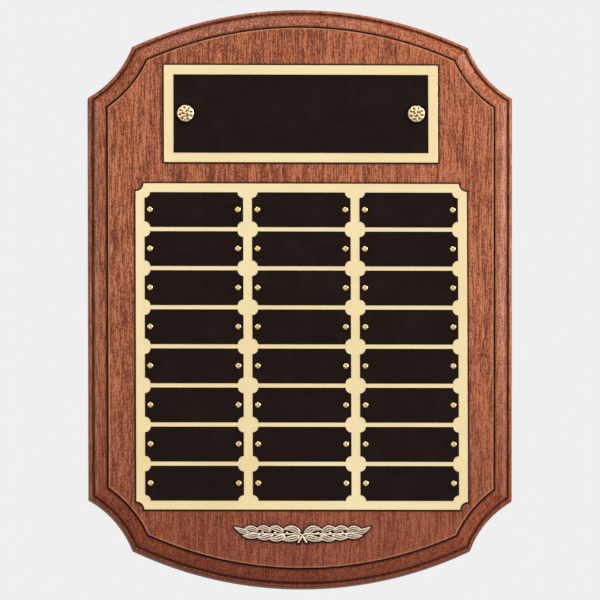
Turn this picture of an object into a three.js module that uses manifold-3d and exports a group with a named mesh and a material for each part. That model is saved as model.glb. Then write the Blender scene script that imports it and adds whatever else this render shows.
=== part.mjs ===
// A perpetual award plaque for the wall: a moulded walnut board with arched ends and scooped corners.
// It carries a bordered header plate held by two rosette tacks, a brass backing plate under a grid of
// engraving plates, and a cast laurel spray. A keyhole hanger is let into its back.
//
// Millimetres. While it is built, x runs to the right, y up and z forward from the wall, with the origin
// at the middle of the board's back. The group is then turned so that +Z is up and the front faces -Y.
import * as THREE from 'three';
import { mergeVertices } from 'three/addons/utils/BufferGeometryUtils.js';
import Module from 'manifold-3d';

const wasm = await Module();
wasm.setup();

// ---------------------------------------------------------------- driving dimensions

const film = 0.05; // gap left between two faces that lie on each other
const clearance = 0.3; // radial room round a shank, a screw or a plate let into the wood

const board = {
  width: 279.4,
  height: 382.1,
  thickness: 19,
  archRise: 25, // from the shoulders of the top and bottom arches to their crowns
  scoopWidth: 28.9, // each corner scoop, across
  scoopHeight: 33.5, // and up
  scoopDepth: 3.9, // how far the scoop bows in from its chord
  backChamfer: 0.8,
};

// The moulded edge, from the flat face out to the side.
const quirk = { width: 1.1, depth: 2 }; // the fine groove round the flat face
// The wide band, which begins at start below the face. Its section is part ellipse and part straight
// slope, and lean is the straight share.
const band = { start: 0.9, width: 8.1, drop: 4.6, lean: 0.45 };
const groove = { width: 1.3, drop: 1.1 }; // the narrow groove between the band and the bead
const bead = { radius: 2.2, lift: 1.3 }; // the rounded nosing, and its lift above the groove

const tack = { headRadius: 5.55, rim: 0.7, crown: 3, shankRadius: 1, shankLength: 15, point: 2.5 };

const header = {
  width: 180.3,
  height: 64.2,
  border: 6.2, // brass that shows round the black plate
  borderThickness: 0.8,
  plateThickness: 0.6,
  belowCrown: 37.6, // from the board's upper crown to the top of the border
  tackSpacing: 152,
};

const nameplate = {
  width: 64.9,
  height: 23,
  thickness: 0.6,
  notch: 3.7, // radius of the scalloped corners
  pinInset: 3.5, // from each end to the pin
  pinHole: 0.7, // radius
};

const roster = {
  columns: 3,
  rows: 8,
  columnGap: 5.8,
  rowGap: 2.8,
  margin: 5.8, // brass that shows round the grid
  thickness: 0.8,
  notch: 5.2,
  belowHeader: 14.15, // wood between the two brass plates
};

const spray = {
  span: 89.2, // from leaf tip to leaf tip
  crossing: 6.2, // the stems cross this far below the tips
  tail: 5.2, // the cut ends hang this far below the crossing
  tailSpread: 3.3,
  stemRadius: 0.75,
  leafLength: 12.6,
  leafWidth: 4.9,
  leafThickness: 1.3,
  leafPitch: 8.4,
  pairs: 4,
  belowRoster: 12.3, // from the roster's lower edge to the leaf tips
  studRadius: 0.6,
  studLength: 6,
  studSpacing: 44,
};

const hanger = {
  width: 17,
  height: 38,
  thickness: 1.5,
  entryRadius: 4.75, // the round end that the wall screw's head goes through
  entryBelow: 5, // its centre, below the middle of the plate
  slotHalfWidth: 2.4,
  slotAbove: 6, // centre of the slot's closed end, above the middle of the plate
  headRoomRadius: 5.9, // of the pocket behind the keyhole
  headRoomDepth: 8, // behind the plate
  belowCrown: 47.35, // from the board's upper crown to the middle of the plate
};

const screw = { headRadius: 3.1, headHeight: 1.6, shankRadius: 1.4, length: 12, point: 3, inset: 3.8 };
const crossRecess = { length: 3.4, width: 0.8, depth: 1.1 };

// Steps of a full round: fine enough for the shape, and no finer.
const steps = { arch: 12, scoop: 8, round: 4, turned: 16, plateCurve: 3, hole: 12 };

// ---------------------------------------------------------------- heights and places worked out

const faceZ = board.thickness;
const crownY = board.height / 2;

const headerBorderZ = faceZ + film;
const headerPlateZ = headerBorderZ + header.borderThickness + film;
const tackZ = headerPlateZ + header.plateThickness + film;
const headerY = crownY - header.belowCrown - header.height / 2;

const rosterZ = faceZ + film;
const nameplateZ = rosterZ + roster.thickness + film;
const rosterWidth =
  roster.columns * nameplate.width + (roster.columns - 1) * roster.columnGap + 2 * roster.margin;
const rosterHeight = roster.rows * nameplate.height + (roster.rows - 1) * roster.rowGap + 2 * roster.margin;
const rosterTop = headerY - header.height / 2 - roster.belowHeader;
const rosterY = rosterTop - rosterHeight / 2;

const sprayTipY = rosterTop - rosterHeight - spray.belowRoster;
const crossingY = sprayTipY - spray.crossing;
const hangerY = crownY - hanger.belowCrown;
const screwOffset = hanger.height / 2 - screw.inset;

const tackPlaces = [
  ['left', -header.tackSpacing / 2],
  ['right', header.tackSpacing / 2],
];

// ---------------------------------------------------------------- finishes

function finish(color, roughness, metalness) {
  return new THREE.MeshStandardMaterial({ color, roughness, metalness });
}

const walnut = finish('#9c5b40', 0.45, 0);
const satinBrass = finish('#f0d9a8', 0.35, 1);
const blackLacquer = finish('#281c19', 0.5, 0.2);
const brightGold = finish('#f4dc92', 0.2, 1);
const zincSteel = finish('#b4b6b8', 0.4, 1);

// ---------------------------------------------------------------- solids and meshes

// A closed geometry as a solid that can be cut and joined.
function solidOf(geometry) {
  const bare = geometry.clone();
  bare.deleteAttribute('normal');
  bare.deleteAttribute('uv');
  const merged = mergeVertices(bare, 1e-4);
  const triVerts = new Uint32Array(merged.index.array);
  return new wasm.Manifold(
    new wasm.Mesh({ numProp: 3, vertProperties: merged.attributes.position.array, triVerts }),
  );
}

function geometryOf(solid) {
  const { vertProperties, triVerts } = solid.getMesh();
  const geometry = new THREE.BufferGeometry();
  geometry.setAttribute('position', new THREE.BufferAttribute(vertProperties, 3));
  geometry.setIndex(new THREE.BufferAttribute(triVerts, 1));
  geometry.computeVertexNormals();
  return geometry;
}

function meshOf(name, geometry, material, x = 0, y = 0, z = 0) {
  const mesh = new THREE.Mesh(geometry, material);
  mesh.name = name;
  mesh.position.set(x, y, z);
  return mesh;
}

// A flat shape given a thickness forward from z = 0.
function slab(shape, thickness, curveSegments = steps.plateCurve) {
  return new THREE.ExtrudeGeometry(shape, { depth: thickness, bevelEnabled: false, curveSegments });
}

// A profile of [radius, z] points turned about the z axis.
function turned(profile, segments = steps.turned) {
  const points = profile.map(([radius, z]) => new THREE.Vector2(radius, z));
  return new THREE.LatheGeometry(points, segments).rotateX(Math.PI / 2);
}

// A round bore from z = from to z = to.
function bore(radius, x, y, from, to) {
  const profile = [[0, from], [radius, from], [radius, to], [0, to]];
  return solidOf(turned(profile, steps.hole).translate(x, y, 0));
}

// ---------------------------------------------------------------- the board

// Where two circles meet, to the left of the line from the first centre to the second.
function meetLeft(centreA, radiusA, centreB, radiusB) {
  const between = centreB.clone().sub(centreA);
  const distance = between.length();
  const along = (radiusA ** 2 - radiusB ** 2 + distance ** 2) / (2 * distance);
  const aside = Math.sqrt(radiusA ** 2 - along ** 2);
  const unit = between.divideScalar(distance);
  return new THREE.Vector2(unit.x * along - unit.y * aside, unit.y * along + unit.x * aside).add(centreA);
}

function arc(centre, radius, from, to, clockwise, count) {
  const angle = (point) => Math.atan2(point.y - centre.y, point.x - centre.x);
  return new THREE.ArcCurve(centre.x, centre.y, radius, angle(from), angle(to), clockwise).getPoints(count);
}

// The board's outline, drawn in by inset all round: a side, a scoop and half an arch, mirrored to four
// quarters. The scoop's radius grows and the arch's shrinks with the inset, which mitres the corners.
function outline(inset) {
  const sideX = board.width / 2;
  const shoulder = new THREE.Vector2(sideX - board.scoopWidth, crownY - board.archRise);
  const tip = new THREE.Vector2(sideX, shoulder.y - board.scoopHeight);

  const archRadius = (shoulder.x ** 2 + board.archRise ** 2) / (2 * board.archRise);
  const archCentre = new THREE.Vector2(0, crownY - archRadius);

  const halfChord = shoulder.distanceTo(tip) / 2;
  const scoopRadius = (halfChord ** 2 + board.scoopDepth ** 2) / (2 * board.scoopDepth);
  const outward = new THREE.Vector2(board.scoopHeight, board.scoopWidth).normalize();
  const scoopCentre = shoulder.clone().add(tip).divideScalar(2);
  scoopCentre.addScaledVector(outward, scoopRadius - board.scoopDepth);

  const x = sideX - inset;
  const drop = Math.sqrt((scoopRadius + inset) ** 2 - (scoopCentre.x - x) ** 2);
  const low = new THREE.Vector2(x, scoopCentre.y - drop);
  const high = meetLeft(archCentre, archRadius - inset, scoopCentre, scoopRadius + inset);
  const crown = new THREE.Vector2(0, crownY - inset);
  const quarter = [
    ...arc(scoopCentre, scoopRadius + inset, low, high, true, steps.scoop),
    ...arc(archCentre, archRadius - inset, high, crown, false, steps.arch).slice(1),
  ];
  const mirrored = (sx, sy) => quarter.map((p) => new THREE.Vector2(p.x * sx, p.y * sy));
  return [
    ...quarter,
    ...mirrored(-1, 1).reverse().slice(1),
    ...mirrored(-1, -1),
    ...mirrored(1, -1).reverse().slice(1, quarter.length),
  ];
}

// The moulded edge from the back up to the flat face, as [inset, drop below the face].
function edgeProfile() {
  const grooveDrop = band.start + band.drop + groove.drop;
  const beadTop = grooveDrop - bead.lift;
  const quarterRound = [...Array(steps.round + 1).keys()].map((i) => (i / steps.round) * (Math.PI / 2));
  const bandFoot = bead.radius + groove.width;
  const faceInset = bandFoot + band.width + quirk.width;
  const bandPoint = (a) => [
    bandFoot + band.width * (1 - Math.cos(a)),
    band.start + band.drop * ((1 - band.lean) * (1 - Math.sin(a)) + band.lean * Math.cos(a)),
  ];
  return [
    [board.backChamfer, board.thickness],
    [0, board.thickness - board.backChamfer],
    ...quarterRound.map((a) => [
      bead.radius * (1 - Math.cos(a)),
      beadTop + bead.radius * (1 - Math.sin(a)),
    ]),
    [bead.radius, grooveDrop],
    [bandFoot, grooveDrop],
    ...quarterRound.map(bandPoint),
    [faceInset - quirk.width, quirk.depth],
    [faceInset, quirk.depth],
    [faceInset, 0],
  ];
}

// A closed solid whose wall runs through rings of equal length, each counter-clockwise from the front.
function loft(rings) {
  const count = rings[0].points.length;
  const positions = rings.flatMap(({ points, z }) => points.flatMap((p) => [p.x, p.y, z]));
  const index = [];
  for (let start = 0; start < (rings.length - 1) * count; start += count) {
    for (let i = 0; i < count; i++) {
      const a = start + i;
      const b = start + ((i + 1) % count);
      index.push(a, b, b + count, a, b + count, a + count);
    }
  }
  const last = (rings.length - 1) * count;
  for (const [a, b, c] of THREE.ShapeUtils.triangulateShape(rings[0].points, [])) index.push(a, c, b);
  for (const [a, b, c] of THREE.ShapeUtils.triangulateShape(rings.at(-1).points, [])) {
    index.push(last + a, last + b, last + c);
  }
  const geometry = new THREE.BufferGeometry();
  geometry.setAttribute('position', new THREE.Float32BufferAttribute(positions, 3));
  geometry.setIndex(index);
  return geometry;
}

// A shape with two straight sides and round ends, upright, between two heights.
function upright(radius, fromY, toY) {
  const shape = new THREE.Shape();
  shape.absarc(0, toY, radius, 0, Math.PI, false);
  shape.absarc(0, fromY, radius, Math.PI, 2 * Math.PI, false);
  return shape;
}

// What is routed out of the back to a depth: a round-ended slot that starts proud of the back.
function pocket(radius, fromY, toY, depth) {
  const proud = 1;
  const geometry = slab(upright(radius, fromY, toY), depth + proud, steps.round);
  return solidOf(geometry.translate(0, 0, -proud));
}

function boardGeometry() {
  const rings = edgeProfile().map(([inset, drop]) => ({ points: outline(inset), z: faceZ - drop }));
  const recess = hanger.width / 2 + clearance;
  const reach = hanger.height / 2 - hanger.width / 2;
  const recessDepth = hanger.thickness + film;
  const cuts = [
    // The hanger's seat, and the room behind its keyhole for a screw head.
    pocket(recess, hangerY - reach, hangerY + reach, recessDepth),
    pocket(
      hanger.headRoomRadius,
      hangerY - hanger.entryBelow,
      hangerY + hanger.slotAbove,
      recessDepth + hanger.headRoomDepth,
    ),
    ...[-1, 1].map((side) =>
      bore(screw.shankRadius + clearance, 0, hangerY + side * screwOffset, -1, screw.length + clearance),
    ),
    ...tackPlaces.map(([, x]) =>
      bore(tack.shankRadius + clearance, x, headerY, tackZ - tack.shankLength - clearance, faceZ + 1),
    ),
    ...[-1, 1].map((side) =>
      bore(
        spray.studRadius + clearance,
        (side * spray.studSpacing) / 2,
        studY(),
        faceZ + film - spray.studLength - clearance,
        faceZ + 1,
      ),
    ),
  ];
  return geometryOf(cuts.reduce((wood, cut) => wood.subtract(cut), solidOf(loft(rings))));
}

// ---------------------------------------------------------------- plates

function roundHole(x, y, radius) {
  return new THREE.Path().absarc(x, y, radius, 0, 2 * Math.PI, false);
}

function rectangle(width, height) {
  const corners = [[-1, -1], [1, -1], [1, 1], [-1, 1]];
  return new THREE.Shape(corners.map(([x, y]) => new THREE.Vector2((x * width) / 2, (y * height) / 2)));
}

// A rectangle whose corners are scalloped: each is cut away by a circle centred on it.
function scalloped(width, height, notch) {
  const x = width / 2;
  const y = height / 2;
  const quarter = Math.PI / 2;
  const shape = new THREE.Shape();
  shape.absarc(x, -y, notch, 2 * quarter, quarter, true);
  shape.absarc(x, y, notch, 3 * quarter, 2 * quarter, true);
  shape.absarc(-x, y, notch, 0, -quarter, true);
  shape.absarc(-x, -y, notch, quarter, 0, true);
  return shape;
}

function drilled(shape, places, radius) {
  shape.holes.push(...places.map(([x, y]) => roundHole(x, y, radius)));
  return shape;
}

const pinX = nameplate.width / 2 - nameplate.pinInset;
const pinPlaces = [[-pinX, 0], [pinX, 0]];

// Each nameplate's middle, from the middle of the roster, row by row from the top left.
const nameplatePlaces = [];
for (let row = 0; row < roster.rows; row++) {
  for (let column = 0; column < roster.columns; column++) {
    const x = (column - (roster.columns - 1) / 2) * (nameplate.width + roster.columnGap);
    const y = ((roster.rows - 1) / 2 - row) * (nameplate.height + roster.rowGap);
    nameplatePlaces.push({ name: `nameplate_row${row + 1}_column${column + 1}`, x, y });
  }
}

function headerPieces() {
  const tackHoles = tackPlaces.map(([, x]) => [x, 0]);
  const holeRadius = tack.shankRadius + clearance;
  const borderShape = drilled(rectangle(header.width, header.height), tackHoles, holeRadius);
  const plateShape = drilled(
    rectangle(header.width - 2 * header.border, header.height - 2 * header.border),
    tackHoles,
    holeRadius,
  );
  return [
    meshOf('header_border', slab(borderShape, header.borderThickness), satinBrass, 0, 0, headerBorderZ),
    meshOf('header_plate', slab(plateShape, header.plateThickness), blackLacquer, 0, 0, headerPlateZ),
    ...tackPlaces.map(([side, x]) => meshOf(`rosette_tack_${side}`, tackGeometry(), brightGold, x, 0, tackZ)),
  ];
}

function rosterPieces() {
  const holes = nameplatePlaces.flatMap(({ x, y }) => pinPlaces.map(([px, py]) => [x + px, y + py]));
  const backing = drilled(scalloped(rosterWidth, rosterHeight, roster.notch), holes, nameplate.pinHole);
  const plate = drilled(
    scalloped(nameplate.width, nameplate.height, nameplate.notch),
    pinPlaces,
    nameplate.pinHole,
  );
  return [
    meshOf('roster_backing_plate', slab(backing, roster.thickness), satinBrass, 0, 0, rosterZ),
    ...nameplatePlaces.map(({ name, x, y }) =>
      meshOf(name, slab(plate, nameplate.thickness), blackLacquer, x, y, nameplateZ),
    ),
  ];
}

// A tack with a low domed head, its underside at z = 0 and its shank behind.
function tackGeometry() {
  const { headRadius, rim, crown, shankRadius, shankLength, point } = tack;
  const dome = [60, 30, 0].map((degrees) => {
    const a = THREE.MathUtils.degToRad(degrees);
    return [headRadius * Math.sin(a), rim + (crown - rim) * Math.cos(a)];
  });
  return turned([
    [0, -shankLength],
    [shankRadius, point - shankLength],
    [shankRadius, 0],
    [headRadius, 0],
    [headRadius, rim],
    ...dome,
  ]);
}

// ---------------------------------------------------------------- the laurel spray

// One stem's centre line, from its cut end through the crossing to the last leaf.
function stemCurve() {
  const reach = spray.span / 2 - spray.leafLength * 0.9;
  return new THREE.CatmullRomCurve3([
    new THREE.Vector3(-spray.tailSpread, -spray.tail, 0),
    new THREE.Vector3(0, 0, 0),
    new THREE.Vector3(reach * 0.3, spray.crossing * 0.36, 0),
    new THREE.Vector3(reach, spray.crossing * 0.62, 0),
  ]);
}

// The height of the studs: on the stems, where the second pair of leaves hides them.
function studY() {
  return crossingY + spray.crossing * 0.45;
}

// A pointed leaf lying along +x from its foot at the origin, arched a little over its midrib.
function leafSolid() {
  const { leafLength: long, leafWidth: wide, leafThickness: thick } = spray;
  const shape = new THREE.Shape();
  shape.moveTo(0, 0);
  shape.quadraticCurveTo(long * 0.45, -wide, long, 0);
  shape.quadraticCurveTo(long * 0.45, wide, 0, 0);
  return solidOf(slab(shape, thick));
}

function branchSolid() {
  const curve = stemCurve();
  const section = new THREE.Shape().absarc(0, 0, spray.stemRadius, 0, 2 * Math.PI, false);
  const stem = solidOf(
    new THREE.ExtrudeGeometry(section, {
      extrudePath: curve,
      steps: 8,
      curveSegments: steps.plateCurve,
      bevelEnabled: false,
    }),
  ).translate([0, 0, spray.stemRadius]);
  const placed = (x, y, degrees, lift) => leafSolid().rotate([0, 0, degrees]).translate([x, y, lift]);
  const tipAngle = 10;
  const leaves = [placed(spray.span / 2 - spray.leafLength, spray.crossing - 2.2, tipAngle, 0)];
  for (let pair = 0; pair < spray.pairs; pair++) {
    const tipX = spray.span / 2 - spray.leafLength * 0.75 - pair * spray.leafPitch;
    const footX = tipX - spray.leafLength * 0.92;
    const footY = spray.crossing * (0.36 - pair * 0.055);
    leaves.push(placed(footX, footY, 14, 0.2));
    leaves.push(placed(footX, footY - 0.3, -14, 0.4));
  }
  return leaves.reduce((whole, leaf) => whole.add(leaf), stem);
}

// Two crossed branches, one the other's mirror image, on two studs.
function sprayGeometry() {
  const branch = branchSolid();
  const inside = spray.leafThickness / 2;
  const studs = [-1, 1].map((side) => {
    const x = (side * spray.studSpacing) / 2;
    return bore(spray.studRadius, x, studY() - crossingY, -spray.studLength, inside);
  });
  const whole = [branch.mirror([1, 0, 0]), ...studs].reduce((sum, piece) => sum.add(piece), branch);
  return geometryOf(whole);
}

// ---------------------------------------------------------------- the keyhole hanger

function keyhole() {
  const { entryRadius, entryBelow, slotHalfWidth, slotAbove } = hanger;
  const half = Math.asin(slotHalfWidth / entryRadius);
  const path = new THREE.Path();
  path.absarc(0, -entryBelow, entryRadius, Math.PI / 2 - half, Math.PI / 2 + half, true);
  path.absarc(0, slotAbove, slotHalfWidth, Math.PI, 0, true);
  return path;
}

// A flat screw head's cone and what it needs round it, from z = 0 inwards.
function countersink(radialRoom) {
  const cone = [
    [0, -1],
    [screw.headRadius + radialRoom, -1],
    [screw.headRadius + radialRoom, 0],
    [screw.shankRadius + radialRoom, screw.headHeight],
    [screw.shankRadius + radialRoom, 2 * screw.headHeight],
    [0, 2 * screw.headHeight],
  ];
  return solidOf(turned(cone));
}

function hangerGeometry() {
  const radius = hanger.width / 2;
  const reach = hanger.height / 2 - radius;
  const shape = upright(radius, -reach, reach);
  shape.holes.push(keyhole());
  const holes = [-1, 1].map((side) => countersink(clearance).translate([0, side * screwOffset, 0]));
  const blank = solidOf(slab(shape, hanger.thickness, steps.round));
  return geometryOf(holes.reduce((plate, hole) => plate.subtract(hole), blank));
}

function screwGeometry() {
  const body = turned([
    [0, 0],
    [screw.headRadius, 0],
    [screw.shankRadius, screw.headHeight],
    [screw.shankRadius, screw.length - screw.point],
    [0, screw.length],
  ]);
  const blade = new THREE.BoxGeometry(crossRecess.length, crossRecess.width, 2 * crossRecess.depth);
  const across = solidOf(blade);
  const up = solidOf(blade.clone().rotateZ(Math.PI / 2));
  return geometryOf(solidOf(body).subtract(across.add(up)));
}

function hangerPieces() {
  return [
    meshOf('keyhole_hanger', hangerGeometry(), zincSteel),
    meshOf('hanger_screw_upper', screwGeometry(), zincSteel, 0, screwOffset),
    meshOf('hanger_screw_lower', screwGeometry(), zincSteel, 0, -screwOffset),
  ];
}

// ---------------------------------------------------------------- assembly

function groupAt(y, pieces) {
  const group = new THREE.Group();
  group.position.y = y;
  return group.add(...pieces);
}

const plaque = new THREE.Group();
plaque.rotation.x = Math.PI / 2;
plaque.add(
  meshOf('walnut_board', boardGeometry(), walnut),
  groupAt(headerY, headerPieces()),
  groupAt(rosterY, rosterPieces()),
  meshOf('laurel_spray', sprayGeometry(), brightGold, 0, crossingY, faceZ + film),
  groupAt(hangerY, hangerPieces()),
);

export default plaque;
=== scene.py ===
"""The visual model of a wall-hung award plaque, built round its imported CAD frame.

Shapes are worked out in face coordinates, in millimetres: u to the right, v up and w forward from the
wall. They are then turned into the frame's metres, where the front looks along -Y and +Z is up.
"""
import logging
import math
from collections.abc import Sequence
from dataclasses import dataclass, field
from enum import Enum

import bmesh
import bpy
import numpy as np
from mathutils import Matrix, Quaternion, Vector
from mathutils.geometry import delaunay_2d_cdt


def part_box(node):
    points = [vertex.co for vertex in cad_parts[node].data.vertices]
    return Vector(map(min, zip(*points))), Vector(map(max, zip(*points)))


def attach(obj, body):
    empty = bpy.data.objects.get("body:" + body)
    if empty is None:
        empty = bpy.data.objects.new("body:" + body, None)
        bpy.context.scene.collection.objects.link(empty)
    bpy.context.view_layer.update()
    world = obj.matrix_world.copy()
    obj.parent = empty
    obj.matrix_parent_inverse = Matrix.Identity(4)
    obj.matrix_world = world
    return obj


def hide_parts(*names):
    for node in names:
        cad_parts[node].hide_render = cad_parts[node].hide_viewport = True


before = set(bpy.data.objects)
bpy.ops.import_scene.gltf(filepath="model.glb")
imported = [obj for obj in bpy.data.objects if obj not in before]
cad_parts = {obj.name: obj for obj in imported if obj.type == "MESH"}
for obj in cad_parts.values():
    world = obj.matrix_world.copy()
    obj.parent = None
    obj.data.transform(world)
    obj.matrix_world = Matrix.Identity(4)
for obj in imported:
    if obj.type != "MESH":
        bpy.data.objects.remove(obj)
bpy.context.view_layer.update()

LOG = logging.getLogger("plaque")
MM = 0.001
TURN = 2 * math.pi
BODY = "root"
# The mesh mark: grooves and hollows, and where shade, shadow and highlight are painted.
RECESS_AND_SHADE = "recess"

Point = tuple[float, float]
Colour = tuple[float, float, float, float]
Socket = bpy.types.NodeSocket
Values = float | Sequence[float] | np.ndarray


class Slot(Enum):
    """The material slots."""

    WALNUT = "walnut"
    SATIN_BRASS = "satin_brass"
    BLACK_LACQUER = "black_lacquer"
    BRIGHT_GOLD = "bright_gold"
    ZINC_STEEL = "zinc_steel"


class Side(Enum):
    """Left or right of the middle, as the sign of u."""

    LEFT = -1
    RIGHT = 1


class End(Enum):
    """The upper or lower end, as the sign of v."""

    LOWER = -1
    UPPER = 1


@dataclass(frozen=True)
class Extent:
    """A CAD node's box in face coordinates, in millimetres."""

    low: np.ndarray
    high: np.ndarray

    @staticmethod
    def of(node: str) -> "Extent":
        """Reads a node's box from the frame."""
        low, high = (np.array(corner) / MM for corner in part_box(node))
        return Extent(np.array([low[0], low[2], -high[1]]), np.array([high[0], high[2], -low[1]]))

    @property
    def size(self) -> np.ndarray:
        """Its width, height and thickness."""
        return self.high - self.low

    @property
    def centre(self) -> Point:
        """The middle of its face."""
        u, v, _ = (self.low + self.high) / 2
        return float(u), float(v)


# ---------------------------------------------------------------- numbers and loops


def ease(values: np.ndarray, low: float, high: float) -> np.ndarray:
    """A smooth step: 0 below low, 1 above high, and 3t^2 - 2t^3 between them."""
    t = np.clip((values - low) / (high - low), 0.0, 1.0)
    return t * t * (3 - 2 * t)


def bell(values: np.ndarray, middle: float, spread: float) -> np.ndarray:
    """A bell curve of height 1: exp(-((x - middle) / spread)^2)."""
    return np.exp(-(((values - middle) / spread) ** 2))


def angles(steps: int) -> np.ndarray:
    """Angles spread evenly round a full turn from 0, in radians."""
    return np.arange(steps) * TURN / steps


def heading(point: np.ndarray, centre: np.ndarray) -> float:
    """The angle at which a point is seen from a centre, from 0 to a full turn."""
    return math.atan2(point[1] - centre[1], point[0] - centre[0]) % TURN


def left_of(direction: np.ndarray) -> np.ndarray:
    """Unit vectors a quarter turn to the left of rows of flat directions."""
    unit = direction / np.linalg.norm(direction, axis=1, keepdims=True)
    return np.stack([-unit[:, 1], unit[:, 0]], axis=1)


def polar(centre: Point, radius: np.ndarray, angle: np.ndarray, w: np.ndarray) -> np.ndarray:
    """A grid of points at centre + radius * (cos a, sin a) and height w, from arrays that broadcast."""
    u = centre[0] + radius * np.cos(angle)
    v = centre[1] + radius * np.sin(angle)
    return np.stack([u, v, np.broadcast_to(w, u.shape)], axis=-1)


def arc(centre: Point, radius: float, start: float, end: float, steps: int) -> np.ndarray:
    """Points along a circle, centre + radius * (cos a, sin a), a running evenly from start to end.

    Args:
        centre: The circle's middle.
        radius: Its radius.
        start: First angle, in radians.
        end: Last angle, in radians.
        steps: Intervals between the first point and the last.

    Returns:
        An array of steps + 1 points.
    """
    angle = np.linspace(start, end, steps + 1)
    return np.stack([centre[0] + radius * np.cos(angle), centre[1] + radius * np.sin(angle)], axis=1)


def circle(centre: Point, radius: float, steps: int) -> np.ndarray:
    """A closed counter-clockwise circle of that many points."""
    return arc(centre, radius, 0.0, TURN, steps)[:-1]


def rectangle(box: Extent, corner: float, steps: int = 4) -> np.ndarray:
    """A box's counter-clockwise outline, with corners rounded to a small radius."""
    centre, (width, height, _) = box.centre, box.size
    signs = ((1, -1), (1, 1), (-1, 1), (-1, -1))
    quarter = math.pi / 2
    corners = [
        arc(
            (centre[0] + sx * (width / 2 - corner), centre[1] + sy * (height / 2 - corner)),
            corner,
            (turn - 1) * quarter,
            turn * quarter,
            steps,
        )
        for turn, (sx, sy) in enumerate(signs)
    ]
    return np.concatenate(corners)


def scalloped(box: Extent, notch: float, steps: int = 10) -> np.ndarray:
    """A box's counter-clockwise outline, each corner cut away by a circle centred on it."""
    centre, (width, height, _) = box.centre, box.size
    quarter = math.pi / 2
    starts = ((1, -1, 2), (1, 1, 3), (-1, 1, 4), (-1, -1, 5))
    corners = [
        arc(
            (centre[0] + sx * width / 2, centre[1] + sy * height / 2),
            notch,
            start * quarter,
            (start - 1) * quarter,
            steps,
        )
        for sx, sy, start in starts
    ]
    return np.concatenate(corners)


def upright(centre: Point, radius: float, reach: float, steps: int = 16) -> np.ndarray:
    """A counter-clockwise upright slot: half circles of one radius, centred reach above and below."""
    top = arc((centre[0], centre[1] + reach), radius, 0.0, math.pi, steps)
    bottom = arc((centre[0], centre[1] - reach), radius, math.pi, TURN, steps)
    return np.concatenate([top, bottom])


def shrink(loop: np.ndarray, distance: float) -> np.ndarray:
    """Moves each point of a loop to its left by a distance, mitred.

    The step is along the sum of the two edge normals, over one plus their dot product.
    """
    normal = left_of(np.roll(loop, -1, axis=0) - loop)
    before = np.roll(normal, 1, axis=0)
    share = 1 + (normal * before).sum(axis=1, keepdims=True)
    return loop + distance * (normal + before) / np.maximum(share, 0.4)


def lift(loop: np.ndarray, w: float) -> np.ndarray:
    """A flat loop as points at one height."""
    return np.concatenate([loop, np.full((len(loop), 1), w)], axis=1)


def inside(points: np.ndarray, loop: np.ndarray) -> np.ndarray:
    """Whether each point is inside a loop: an odd number of its edges cross the ray to the right."""
    a, b = loop, np.roll(loop, -1, axis=0)
    u, v = points[:, :1], points[:, 1:]
    spans = (a[:, 1] > v) != (b[:, 1] > v)
    rise = np.where(a[:, 1] == b[:, 1], 1.0, b[:, 1] - a[:, 1])
    crossing = a[:, 0] + (v - a[:, 1]) * (b[:, 0] - a[:, 0]) / rise
    return (spans & (u < crossing)).sum(axis=1) % 2 == 1


# ---------------------------------------------------------------- meshes


@dataclass(frozen=True)
class Hole:
    """A hole through a plate, as its clockwise loops at the back and at the front."""

    back: np.ndarray
    front: np.ndarray

    @staticmethod
    def straight(loop: np.ndarray) -> "Hole":
        """A hole with upright walls, from a counter-clockwise loop."""
        return Hole(loop[::-1], loop[::-1])


@dataclass(frozen=True)
class Ring:
    """A closed line on a flat face whose points carry one mark."""

    loop: np.ndarray
    mark: float


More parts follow.
